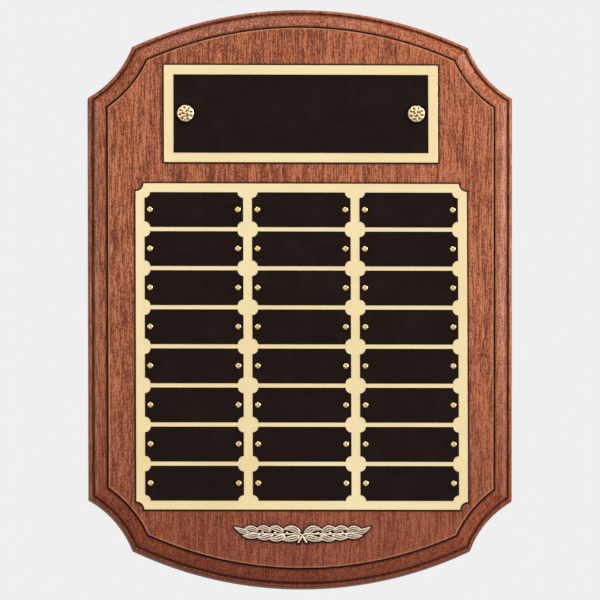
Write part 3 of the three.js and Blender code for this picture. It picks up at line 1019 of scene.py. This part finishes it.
        # Painted highlight: a pale line on the face along its arris.
        arris_highlight = [Ring(self.outline(edge + reach), mark) for reach, mark in self.arris_highlight_rings]
        shell.cap(self.outline(edge), face, mouths, [*arris_highlight, *rings], dots)
        pocket = hanger.pocket(shell)
        shell.cap(self.outline(profile[0, 0]), 0.0, [pocket])
        return place(shell.mesh("board"), finishes.walnut, Slot.WALNUT, ["walnut_board"], self.crease)


# ---------------------------------------------------------------- plates


def shadow_rings(outline: np.ndarray) -> list[Ring]:
    """Rings outside a plate's outline, in which a painted shadow thins out."""
    # Painted shadow on the wood round the plate.
    bands = ((0.05, 1.0), (0.9, 1.0), (1.7, 0.0))
    return [Ring(shrink(outline, -reach), mark) for reach, mark in bands]


def shade(centres: Sequence[Point], bands: Sequence[tuple[float, float]], steps: int) -> list[Ring]:
    """Rings round each centre, from (radius, mark) bands, in which a painted shadow thins out."""
    return [Ring(circle(centre, radius, steps), mark) for centre in centres for radius, mark in bands]


@dataclass
class RosetteTack:
    """A decorative tack: a low round head cast as a flower, turned by some angle, on a plain shank."""

    side: Side
    turn: float
    petals: int = 8
    rim: float = 0.55
    height: float = 3.0
    face_share: float = 0.985
    shank_radius: float = 1.0
    shank_length: float = 15.0
    point: float = 2.5
    rings: int = 40
    steps: int = 160

    @property
    def node(self) -> str:
        """The CAD node that it stands for."""
        return "rosette_tack_" + self.side.name.lower()

    def face(self, radius: np.ndarray, angle: np.ndarray, crown: float) -> tuple[np.ndarray, np.ndarray]:
        """Height of the flower's face above its rim, and how hollow it is.

        The face is a low dome, crown * sqrt(1 - r^2). Petals lift it by a cosine of the angle on an
        outer ring, a round pit lies between each pair of petals, and three arms wind out of the
        middle, as a cosine of three times the angle plus a share of the radius.
        """
        dome = crown * np.sqrt(np.clip(1 - (0.97 * radius) ** 2, 0.0, 1.0)) * 0.72
        outer = ease(radius, 0.42, 0.56) * (1 - ease(radius, 0.88, 1.0))
        petal = np.cos(self.petals * angle)
        pit = bell(radius, 0.70, 0.10) * ease(-petal, 0.15, 0.9)
        wound = 0.5 + 0.5 * np.cos(3 * angle + 7.5 * radius)
        arms = ease(radius, 0.06, 0.16) * (1 - ease(radius, 0.40, 0.50))
        ring = bell(radius, 0.47, 0.05)
        height = dome + 0.22 * outer * petal - 1.05 * pit - 0.75 * arms * wound**2 - 0.25 * ring
        hollow = np.clip(1.9 * pit + 1.5 * arms * wound**3 + 0.45 * ring, 0.0, 1.0)
        return height, hollow

    def build(self, finishes: Finishes) -> bpy.types.Object:
        """Builds the tack where the frame has it."""
        box = Extent.of(self.node)
        head = box.size[0] / 2
        under = box.low[2] + self.shank_length
        angle = angles(self.steps)
        radius = np.linspace(1.0, 0.0, self.rings)[:, None] ** 0.9
        height, hollow = self.face(radius, angle + self.turn, self.height - self.rim)
        top = polar(box.centre, head * self.face_share * radius, angle, under + self.rim + height)
        profile = np.array(
            [
                (0.0, -self.shank_length),
                (self.shank_radius, self.point - self.shank_length),
                (self.shank_radius, 0.0),
                (head - 0.1, 0.0),
                (head, 0.12),
                (head, self.rim * 0.7),
            ]
        )
        below = polar(box.centre, profile[:, :1], angle, under + profile[:, 1:])
        shell = Shell()
        shell.grid(np.concatenate([below, top]), np.concatenate([np.zeros(below.shape[:2]), hollow]))
        mesh = shell.mesh("rosette_" + self.side.name.lower())
        return place(mesh, finishes.tack_gold, Slot.BRIGHT_GOLD, [self.node], 50)


@dataclass
class Header:
    """The header: a brass border plate, a black plate on it, and a rosette tack at each end."""

    corner: float = 0.35
    tack_hole: float = 1.3
    tack_bore: float = 13.8
    tack_shade: tuple[tuple[float, float], ...] = ((5.7, 1.0), (6.4, 0.8), (7.6, 0.0))
    tacks: tuple[RosetteTack, ...] = (RosetteTack(Side.LEFT, 0.13), RosetteTack(Side.RIGHT, 0.71))

    def tack_places(self) -> list[Point]:
        """The middle of each tack."""
        return [Extent.of(tack.node).centre for tack in self.tacks]

    def rings(self) -> list[Ring]:
        """Where a shadow is painted on the board round the border plate."""
        return shadow_rings(rectangle(Extent.of("header_border"), self.corner))

    def bores(self) -> list[Bore]:
        """The holes that the tacks need in the board."""
        return [Bore(centre, self.tack_hole, self.tack_bore) for centre in self.tack_places()]

    def build(self, finishes: Finishes) -> list[bpy.types.Object]:
        """Builds both plates and the tacks."""
        holes = [Hole.straight(circle(centre, self.tack_hole, 24)) for centre in self.tack_places()]
        # Painted shadow: a dark ring round each tack.
        shadow = shade(self.tack_places(), self.tack_shade, 32)
        pieces = []
        parts = (
            ("header_brass", "header_border", finishes.satin_brass, Slot.SATIN_BRASS, ()),
            ("header_black", "header_plate", finishes.black, Slot.BLACK_LACQUER, shadow),
        )
        for name, node, material, slot, rings in parts:
            box = Extent.of(node)
            shell = Shell()
            shell.plate(rectangle(box, self.corner), box.low[2], box.high[2], holes, rings=rings)
            pieces.append(place(shell.mesh(name), material, slot, [node]))
        return pieces + [tack.build(finishes) for tack in self.tacks]


@dataclass
class Pin:
    """A small round-headed brass pin, its head dimpled where the hammer set it."""

    head_radius: float = 1.85
    head_height: float = 0.75
    shank_radius: float = 0.45
    length: float = 7.0
    point: float = 1.2

    def build(self, name: str, centre: Point, seat: float, finishes: Finishes) -> bpy.types.Object:
        """Builds a pin.

        Args:
            name: The piece's name.
            centre: Its place on the face.
            seat: Height of the plate that its head rests on.
            finishes: The plaque's finishes.

        Returns:
            The pin's object.
        """
        r, h = self.head_radius, self.head_height
        across = r * np.array([1.0, 0.97, 0.9, 0.8, 0.68, 0.56, 0.44, 0.34, 0.26, 0.18, 0.1, 0.0])
        up = 0.2 + (h - 0.2) * (1 - (across / r) ** 3) ** 0.6
        hollow = bell(across, 0.0, 0.5)
        dome = np.stack([across, up - 0.32 * hollow], axis=1)
        thin, tip = self.shank_radius, self.point - self.length
        shank = [(0.0, -self.length), (thin, tip), (thin, 0.0), (r - 0.05, 0.0)]
        profile = np.concatenate([np.array(shank), dome])
        profile[:, 1] += seat
        shell = Shell()
        shell.turned(profile, 28, centre, np.concatenate([np.zeros(len(shank)), hollow]))
        return place(shell.mesh(name), finishes.pin_gold, Slot.BRIGHT_GOLD, crease=60)


@dataclass
class Roster:
    """The brass backing plate and the grid of pinned black nameplates."""

    rows: int = 8
    columns: int = 3
    plate_notch: float = 3.7
    backing_notch: float = 5.2
    pin_inset: float = 3.5
    pin_hole: float = 0.7
    wood_hole: float = 0.47
    wood_depth: float = 6.0
    wood_steps: int = 8
    seat_gap: float = 0.05
    pin_shade: tuple[tuple[float, float], ...] = ((1.9, 1.0), (2.3, 0.7), (3.1, 0.0))
    pin: Pin = field(default_factory=Pin)

    def plates(self) -> list[tuple[int, int, Extent]]:
        """Each nameplate's row, column and box, from the top left."""
        return [
            (row, column, Extent.of(f"nameplate_row{row}_column{column}"))
            for row in range(1, self.rows + 1)
            for column in range(1, self.columns + 1)
        ]

    def pin_places(self, box: Extent) -> list[tuple[Side, Point]]:
        """Where a nameplate's two pins stand."""
        reach = box.size[0] / 2 - self.pin_inset
        u, v = box.centre
        return [(side, (u + side.value * reach, v)) for side in Side]

    def rings(self) -> list[Ring]:
        """Where a shadow is painted on the board round the backing plate."""
        return shadow_rings(scalloped(Extent.of("roster_backing_plate"), self.backing_notch))

    def bores(self) -> list[Bore]:
        """The holes that the pins make in the board."""
        return [
            Bore(centre, self.wood_hole, self.wood_depth, self.wood_steps)
            for _, _, box in self.plates()
            for _, centre in self.pin_places(box)
        ]

    def build(self, finishes: Finishes) -> list[bpy.types.Object]:
        """Builds the backing plate, the nameplates and the pins."""
        backing = Extent.of("roster_backing_plate")
        pieces, holes = [], []
        for row, column, box in self.plates():
            places = self.pin_places(box)
            own = [Hole.straight(circle(centre, self.pin_hole, 16)) for _, centre in places]
            holes += own
            shell = Shell()
            # Painted shadow: a dark ring round each pin.
            rings = shade([centre for _, centre in places], self.pin_shade, 20)
            shell.plate(scalloped(box, self.plate_notch), box.low[2], box.high[2], own, rings=rings)
            name = f"nameplate_r{row}_c{column}"
            node = f"nameplate_row{row}_column{column}"
            pieces.append(place(shell.mesh(name), finishes.black, Slot.BLACK_LACQUER, [node]))
            for side, centre in places:
                pin_name = f"pin_r{row}_c{column}_{side.name.lower()}"
                pieces.append(self.pin.build(pin_name, centre, box.high[2] + self.seat_gap, finishes))
        shell = Shell()
        shell.plate(scalloped(backing, self.backing_notch), backing.low[2], backing.high[2], holes)
        mesh = shell.mesh("roster_brass")
        brass = place(mesh, finishes.satin_brass, Slot.SATIN_BRASS, ["roster_backing_plate"])
        return [brass, *pieces]


# ---------------------------------------------------------------- the laurel spray


@dataclass(frozen=True)
class Leaf:
    """A curved leaf: its centre line is a Bezier curve from the foot by way of a bend to the tip."""

    foot: Point
    bend: Point
    tip: Point
    width: float
    thickness: float = 0.95
    rise: float = 0.5
    rows: int = 30
    columns: int = 40

    def points(self, base: float) -> tuple[np.ndarray, np.ndarray]:
        """The leaf as a closed tube of points.

        At t along the line, half the width is width/2 * sin(pi t^0.72)^0.8. The upper side is a
        dished blade: high along its rim and its midrib, and hollow between them, where shallow veins
        cross it. The lower side is flat.

        Args:
            base: Height of the leaf's foot above the back of the casting.

        Returns:
            The points, and a mark for each: patina, most in the hollows, and painted shade under the rim,
                which darkens the leaf's edge.
        """
        t = np.linspace(0.0, 1.0, self.rows)[:, None]
        foot, bend, tip = (np.array(p) for p in (self.foot, self.bend, self.tip))
        line = (1 - t) ** 2 * foot + 2 * t * (1 - t) * bend + t**2 * tip
        across = left_of(2 * (1 - t) * (bend - foot) + 2 * t * (tip - bend))
        half = self.width / 2 * np.sin(math.pi * t**0.72) ** 0.8
        angle = angles(self.columns)
        side, up = np.cos(angle), np.sin(angle)
        body = np.sin(math.pi * t**0.7) ** 0.5
        dish = (1 - ease(np.abs(side), 0.55, 0.75)) * (1 - bell(side, 0.0, 0.16)) * (up > 0) * body
        veins = 0.5 + 0.5 * np.cos(30 * t + 6 * np.abs(side))
        top = np.abs(up) ** 0.12 * (1 + 0.08 * bell(side, 0.0, 0.2)) - 0.09 * dish + 0.03 * dish * veins
        height = base + self.rise * t + self.thickness * body * np.where(up > 0, top, -0.2 * np.abs(up))
        u = line[:, :1] + across[:, :1] * half * side
        v = line[:, 1:] + across[:, 1:] * half * side
        # Patina in the dish; the rim and underside take 0.8, painted shade that darkens the leaf's outline.
        mark = np.where(up > 0.05, dish * (1.1 - 0.25 * veins), 0.8)
        return np.stack([u, v, height], axis=-1), mark

    def outline(self) -> np.ndarray:
        """Points along the leaf's edge."""
        rim = self.points(0.0)[0][:, [0, self.columns // 2], :2]
        return rim.reshape(-1, 2)


@dataclass
class Spray:
    """Two crossed laurel branches, cast in one piece."""

    rise: float = 6.25
    stem_radius: float = 0.6
    berry_radius: float = 0.75
    stud_radius: float = 0.6
    stud_hole: float = 0.9
    stud_reach: float = 22.0
    stud_rise: float = 2.8
    stud_length: float = 6.0
    stud_bore: float = 6.3
    tail: Point = (3.3, -5.1)
    seat: float = 0.05
    leaf_base: float = 0.3
    leaf_step: float = 0.05
    berry_base: float = 1.0
    # How far the painted shadow round the casting reaches, and how it fades.
    shadow_reach: float = 48.0
    shadow_below: float = 8.0
    shadow_above: float = 9.0
    shadow_pitch: float = 0.7
    shadow_fade: tuple[float, float] = (0.7, 1.7)
    stem_rows: int = 60
    stem_sides: int = 14
    berry_rows: int = 12
    berry_sides: int = 18

    def leaves(self) -> list[Leaf]:
        """The left branch's leaves, from its tip inwards. The crossing is at (0, 0)."""
        lower = (
            Leaf((-27.5, 1.3), (-33.6, -1.4), (-39.6, 0.2), 3.6),
            Leaf((-19.2, 0.9), (-24.6, -2.3), (-30.1, -1.0), 3.9),
            Leaf((-11.4, 0.4), (-16.8, -3.2), (-21.9, -2.1), 4.0),
            Leaf((-1.6, -0.4), (-7.8, -2.7), (-14.2, -2.5), 4.0),
        )
        upper = (
            Leaf((-29.0, 2.4), (-34.0, 6.6), (-38.8, 3.9), 3.5),
            Leaf((-20.6, 2.2), (-25.6, 6.9), (-30.6, 3.8), 3.7),
            Leaf((-12.4, 1.9), (-17.8, 6.9), (-23.0, 3.7), 3.8),
            Leaf((-1.4, 0.9), (-6.4, 6.9), (-12.9, 3.7), 4.0),
        )
        end = Leaf((-34.8, 1.9), (-40.2, 2.4), (-44.9, 5.9), 3.3)
        pairs = [leaf for pair in zip(lower, upper) for leaf in pair]
        return [end, *pairs]

    def berries(self) -> list[Point]:
        """The middle of each berry on the left branch."""
        return [(-10.2, 1.9), (-17.9, 2.0), (-26.3, 2.3), (-12.6, -0.3), (-20.2, -0.2), (-28.6, 0.6)]

    def _stem(self, side: int) -> np.ndarray:
        """One branch's stem as a tube: a round section carried along a curve fitted to its points."""
        knots = np.array([self.tail, (0.0, 0.0), (-5.0, 1.2), (-18.0, 1.0), (-36.0, 2.3)]) * (side, 1)
        s = np.linspace(0.0, 1.0, len(knots))
        t = np.linspace(0.0, 1.0, self.stem_rows)
        fit = np.stack([np.polyval(np.polyfit(s, knots[:, i], 4), t) for i in (0, 1)], axis=1)
        across = left_of(np.gradient(fit, axis=0))
        angle = angles(self.stem_sides)
        radius = self.stem_radius * (1.15 - 0.4 * t[:, None])
        radius[[0, -1]] = 0.0
        u = fit[:, :1] + across[:, :1] * radius * np.cos(angle)
        v = fit[:, 1:] + across[:, 1:] * radius * np.cos(angle)
        height = self.stem_radius * (1.1 if side > 0 else 1.8) + radius * np.sin(angle)
        return np.stack([u, v, height], axis=-1)

    def _berry(self, centre: Point, base: float) -> np.ndarray:
        """A ball as rings between its poles."""
        tilt = np.linspace(-math.pi / 2, math.pi / 2, self.berry_rows)[:, None]
        r = self.berry_radius
        return polar(centre, r * np.cos(tilt), angles(self.berry_sides), base + r * np.sin(tilt))

    def crossing(self) -> np.ndarray:
        """Where the stems cross, at the height of the casting's back."""
        high = Extent.of("laurel_spray").high[1]
        return np.array([0.0, high - self.rise, Extent.of("walnut_board").high[2] + self.seat])

    def build(self, finishes: Finishes) -> bpy.types.Object:
        """Builds the casting: leaves, berries, stems and studs, each run into its neighbours."""
        crossing = self.crossing()
        shell = Shell()
        for side in (1, -1):
            mirror = (side, 1, 1)
            shell.grid(self._stem(side) + crossing)
            for number, leaf in enumerate(self.leaves()):
                points, mark = leaf.points(self.leaf_base + self.leaf_step * number)
                shell.grid(points * mirror + crossing, mark)
            for berry in self.berries():
                shell.grid(self._berry(berry, self.berry_base) * mirror + crossing)
            thin, end, top = self.stud_radius, -self.stud_length, 0.7
            stud = np.array([(0.0, end), (thin, end + 0.3), (thin, top), (0.0, top)])
            stud[:, 1] += crossing[2]
            shell.turned(stud, self.stem_sides, (side * self.stud_reach, float(crossing[1]) + self.stud_rise))
        return place(shell.mesh("laurel"), finishes.gold, Slot.BRIGHT_GOLD, ["laurel_spray"], 35)

    def bores(self) -> list[Bore]:
        """The holes that the studs need in the board."""
        height = float(self.crossing()[1]) + self.stud_rise
        return [Bore((side.value * self.stud_reach, height), self.stud_hole, self.stud_bore) for side in Side]

    def dots(self) -> np.ndarray:
        """Where a shadow is painted on the board round the casting.

        A fine grid of points covers the casting. A point's mark falls from 1 to 0 with its distance
        from the nearest point of a leaf or a stem.

        Returns:
            Rows of (u, v, mark).
        """
        crossing = self.crossing()[:2]
        pitch, past = self.shadow_pitch, 0.1
        along = np.arange(-self.shadow_reach, self.shadow_reach + past, pitch)
        u, v = np.meshgrid(along, np.arange(-self.shadow_below, self.shadow_above + past, pitch))
        grid = np.stack([u.ravel(), v.ravel()], axis=1)
        left = np.concatenate([leaf.outline() for leaf in self.leaves()] + [self._stem(1)[:, 0, :2]])
        solid = np.concatenate([left, left * (-1, 1)])
        near = np.sqrt(((grid[:, None, :] - solid[None, :, :]) ** 2).sum(axis=2).min(axis=1))
        return np.column_stack([grid + crossing, 1 - ease(near, *self.shadow_fade)])


# ---------------------------------------------------------------- the hanger


@dataclass
class Screw:
    """A countersunk screw with a cross recess, pointing forward into the board."""

    end: End
    head_radius: float = 3.1
    head_height: float = 1.6
    neck: float = 1.4
    core: float = 1.0
    thread: float = 0.38
    pitch: float = 1.3
    length: float = 12.0
    point: float = 3.0
    steps: int = 72
    head_rows: int = 34
    shank_rows: int = 110

    @property
    def node(self) -> str:
        """The CAD node that it stands for."""
        return "hanger_screw_" + self.end.name.lower()

    def build(self, finishes: Finishes) -> bpy.types.Object:
        """Builds the screw.

        The head's face drops inside a cross, the union of two narrow bars with eased sides. The
        shank's radius is a core plus a ridge that winds with the angle and the depth, and shrinks
        to nothing at the point.
        """
        centre = Extent.of(self.node).centre
        angle = angles(self.steps)
        radius = np.linspace(0.0, 1.0, self.head_rows)[:, None] * self.head_radius
        u, v = radius * np.cos(angle), radius * np.sin(angle)

        def bar(a: np.ndarray, b: np.ndarray) -> np.ndarray:
            """How deep a point lies in a bar that is narrow along a and long along b, from 0 to 1."""
            return (1 - ease(np.abs(a), 0.28, 0.48)) * (1 - ease(np.abs(b), 1.45, 1.8))

        sunk = np.maximum(bar(u, v), bar(v, u)) * (1.1 - 0.25 * radius / self.head_radius)
        face = np.stack([u, v, sunk], axis=-1)
        depth = np.linspace(self.head_height, self.length, self.shank_rows)[:, None]
        taper = 1 - ease(depth, self.length - self.point, self.length)
        wound = (0.5 + 0.5 * np.cos(angle - TURN * depth / self.pitch)) ** 3
        shank = (self.core + self.thread * wound * ease(depth, 2.0, 3.0)) * taper
        shank[0] = self.neck
        wall = polar((0.0, 0.0), shank, angle, depth)
        shell = Shell()
        shell.grid(np.concatenate([face, wall]) + np.array([*centre, 0.0]))
        name = "screw_" + self.end.name.lower()
        return place(shell.mesh(name), finishes.zinc, Slot.ZINC_STEEL, [self.node])


@dataclass
class Hanger:
    """The keyhole hanger let into the board's back, and its two screws."""

    entry_radius: float = 4.75
    entry_below: float = 5.0
    slot_half: float = 2.4
    slot_above: float = 6.0
    clearance: float = 0.3
    seat: float = 0.05
    head_room_radius: float = 5.9
    head_room_depth: float = 8.0
    screw_depth: float = 12.3
    pilot_radius: float = 1.7
    hole_radius: float = 1.75
    sink_radius: float = 3.4
    screws: tuple[Screw, ...] = (Screw(End.LOWER), Screw(End.UPPER))
    extent: Extent = field(default_factory=lambda: Extent.of("keyhole_hanger"))

    def screw_places(self) -> list[Point]:
        """The middle of each screw."""
        return [Extent.of(screw.node).centre for screw in self.screws]

    def pocket(self, shell: Shell) -> np.ndarray:
        """Adds the routed pocket to the board's shell and returns the loop of its mouth."""
        centre = self.extent.centre
        width, height, thickness = self.extent.size
        mouth = upright(centre, width / 2 + self.clearance, (height - width) / 2)
        middle = (centre[0], centre[1] + (self.slot_above - self.entry_below) / 2)
        room = upright(middle, self.head_room_radius, (self.slot_above + self.entry_below) / 2)
        bores = [circle(place_, self.pilot_radius, 20) for place_ in self.screw_places()]
        floor = thickness + self.seat
        shell.blind(mouth, 0.0, floor, [room, *bores])
        shell.blind(room, floor, floor + self.head_room_depth)
        for bore in bores:
            shell.blind(bore, floor, self.screw_depth)
        return mouth

    def keyhole(self) -> np.ndarray:
        """The keyhole's loop, counter-clockwise: most of a circle, and a round-ended slot above it."""
        u, v = self.extent.centre
        half = math.asin(self.slot_half / self.entry_radius)
        quarter = math.pi / 2
        entry = arc((u, v - self.entry_below), self.entry_radius, quarter + half, 5 * quarter - half, 36)
        slot = arc((u, v + self.slot_above), self.slot_half, 0.0, math.pi, 16)
        return np.concatenate([entry, slot])

    def build(self, finishes: Finishes) -> list[bpy.types.Object]:
        """Builds the plate and the screws."""
        width, height, _ = self.extent.size
        outline = upright(self.extent.centre, width / 2, (height - width) / 2, 24)
        holes = [Hole.straight(self.keyhole())]
        for centre in self.screw_places():
            wide, narrow = (circle(centre, r, 32)[::-1] for r in (self.sink_radius, self.hole_radius))
            holes.append(Hole(wide, narrow))
        shell = Shell()
        shell.plate(outline, self.extent.low[2], self.extent.high[2], holes, (0.2, 0.05))
        plate = place(shell.mesh("hanger_plate"), finishes.zinc, Slot.ZINC_STEEL, ["keyhole_hanger"])
        return [plate] + [screw.build(finishes) for screw in self.screws]


# ---------------------------------------------------------------- the studio


@dataclass(frozen=True)
class SoftLight:
    """A square area light that looks at the middle of the plaque."""

    name: str
    place: tuple[float, float, float]
    size: float
    power: float
    colour: Colour = (1.0, 1.0, 1.0, 1.0)

    def build(self, target: Vector) -> None:
        """Makes the light."""
        data = bpy.data.lights.new(self.name, "AREA")
        data.shape = "SQUARE"
        data.size, data.energy, data.color = self.size, self.power, self.colour[:3]
        light = show(self.name, data)
        light.location = self.place
        light.rotation_mode = "QUATERNION"
        light.rotation_quaternion = (target - light.location).to_track_quat("-Z", "Y")


@dataclass
class Studio:
    """The camera, the pale surround, the floor and the lights."""

    azimuth: float = -3.0
    elevation: float = -6.0
    roll: float = -0.2
    distance: float = 12.0
    frame_width: float = 0.3942
    aside: float = 0.00098
    above: float = 0.0017
    floor_height: float = -1.75
    floor_reach: float = 120.0
    pale: str = "efefef"
    floor_glow: float = 0.75
    glow_ahead: float = 1.17
    glow_round: float = 0.26
    lights: tuple[SoftLight, ...] = (
        SoftLight("key", (1.44, -0.50, 0.62), 0.85, 16.5),
        SoftLight("gleam", (1.45, -1.05, 0.15), 0.42, 6.0),
        SoftLight("left", (-0.95, -0.42, 0.20), 0.6, 2.6),
        SoftLight("overhead", (-0.05, -0.45, 1.0), 0.7, 3.2),
        SoftLight("back", (0.3, 1.6, 2.2), 1.6, 24.0),
    )

    def camera(self, aim: Vector) -> None:
        """Makes the camera, looking at a point that is to stand a little off the frame's middle."""
        turn, tip = math.radians(self.azimuth), math.radians(self.elevation)
        back = Vector((math.sin(turn) * math.cos(tip), -math.cos(turn) * math.cos(tip), math.sin(tip)))
        right = (-back).cross(Vector((0, 0, 1))).normalized()
        up = right.cross(-back)
        data = bpy.data.cameras.new("camera")
        data.sensor_width = 36.0
        data.lens = data.sensor_width * self.distance / self.frame_width
        data.clip_start, data.clip_end = 0.1, 400.0
        camera = show("camera", data)
        camera.location = aim - right * self.aside - up * self.above + back * self.distance
        camera.rotation_mode = "QUATERNION"
        rolled = Quaternion(back, math.radians(self.roll))
        camera.rotation_quaternion = rolled @ (-back).to_track_quat("-Z", "Y")
        bpy.context.scene.camera = camera

    def surround(self) -> None:
        """Makes the world: one pale tone to look at, and light that comes mostly from the front."""
        world = bpy.data.worlds.new("surround")
        world.use_nodes = True
        bpy.context.scene.world = world
        c = Canvas(world.node_tree)
        parts = c.put("SeparateXYZ", {0: c.put("TexCoord").outputs["Generated"]}).outputs
        ahead = c.remap(c.math("MULTIPLY", parts["Y"], -1.0), 0.5, 0.93, (self.glow_round, self.glow_ahead))
        below = c.remap(parts["Z"], -0.65, -0.3, (0.1, 1.0))
        glow = c.math("MULTIPLY", ahead, below)
        lamp = c.put("Background", {"Color": (1.0, 1.0, 1.0, 1.0), "Strength": glow})
        plain = c.put("Background", {"Color": tint(self.pale), "Strength": 1.0})
        seen = c.put("LightPath").outputs["Is Camera Ray"]
        both = c.put("MixShader", {0: seen, 1: lamp.outputs[0], 2: plain.outputs[0]})
        c.put("OutputWorld", {"Surface": both.outputs[0]})

    def floor(self) -> None:
        """Makes the plain floor, pale from above and clear from below."""
        reach = self.floor_reach
        corners = np.array([(-1, -1, 0), (1, -1, 0), (1, 1, 0), (-1, 1, 0)]) * reach
        corners[:, 2] = self.floor_height
        mesh = bpy.data.meshes.new("floor")
        mesh.from_pydata(corners, [], [(0, 1, 2, 3)])
        material, c, shader = new_material("floor_paint")
        c.feed(shader, {"Base Color": tint(self.pale), "Roughness": 0.9})
        under = c.put("NewGeometry").outputs["Backfacing"]
        clear = c.put("BsdfTransparent")
        even = c.put("Emission", {"Color": tint(self.pale), "Strength": 1.0})
        seen = c.math("MULTIPLY", c.put("LightPath").outputs["Is Camera Ray"], self.floor_glow)
        above = c.put("MixShader", {0: seen, 1: shader.outputs[0], 2: even.outputs[0]})
        both = c.put("MixShader", {0: under, 1: above.outputs[0], 2: clear.outputs[0]})
        c.put("OutputMaterial", {"Surface": both.outputs[0]}, is_active_output=True)
        mesh.materials.append(material)
        show("floor", mesh)

    def build(self) -> None:
        """Makes everything that isn't the plaque."""
        face = Vector((0.0, float(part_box("walnut_board")[0][1]), 0.0))
        self.camera(face)
        self.surround()
        self.floor()
        for light in self.lights:
            light.build(face)
        bpy.context.scene.view_settings.view_transform = "Standard"


def main() -> None:
    """Builds the studio and every piece of the plaque, and reports each."""
    logging.basicConfig(level=logging.INFO, format="%(name)s: %(message)s")
    Studio().build()
    finishes = Finishes()
    header, roster, spray, hanger = Header(), Roster(), Spray(), Hanger()
    bores = header.bores() + roster.bores() + spray.bores()
    rings = header.rings() + roster.rings()
    pieces = [Board().build(finishes, bores, hanger, rings, spray.dots())]
    pieces += header.build(finishes)
    pieces += roster.build(finishes)
    pieces.append(spray.build(finishes))
    pieces += hanger.build(finishes)
    for piece in pieces:
        LOG.info("%s: %d faces", piece.name, len(piece.data.polygons))


if __name__ == "__main__":
    main()
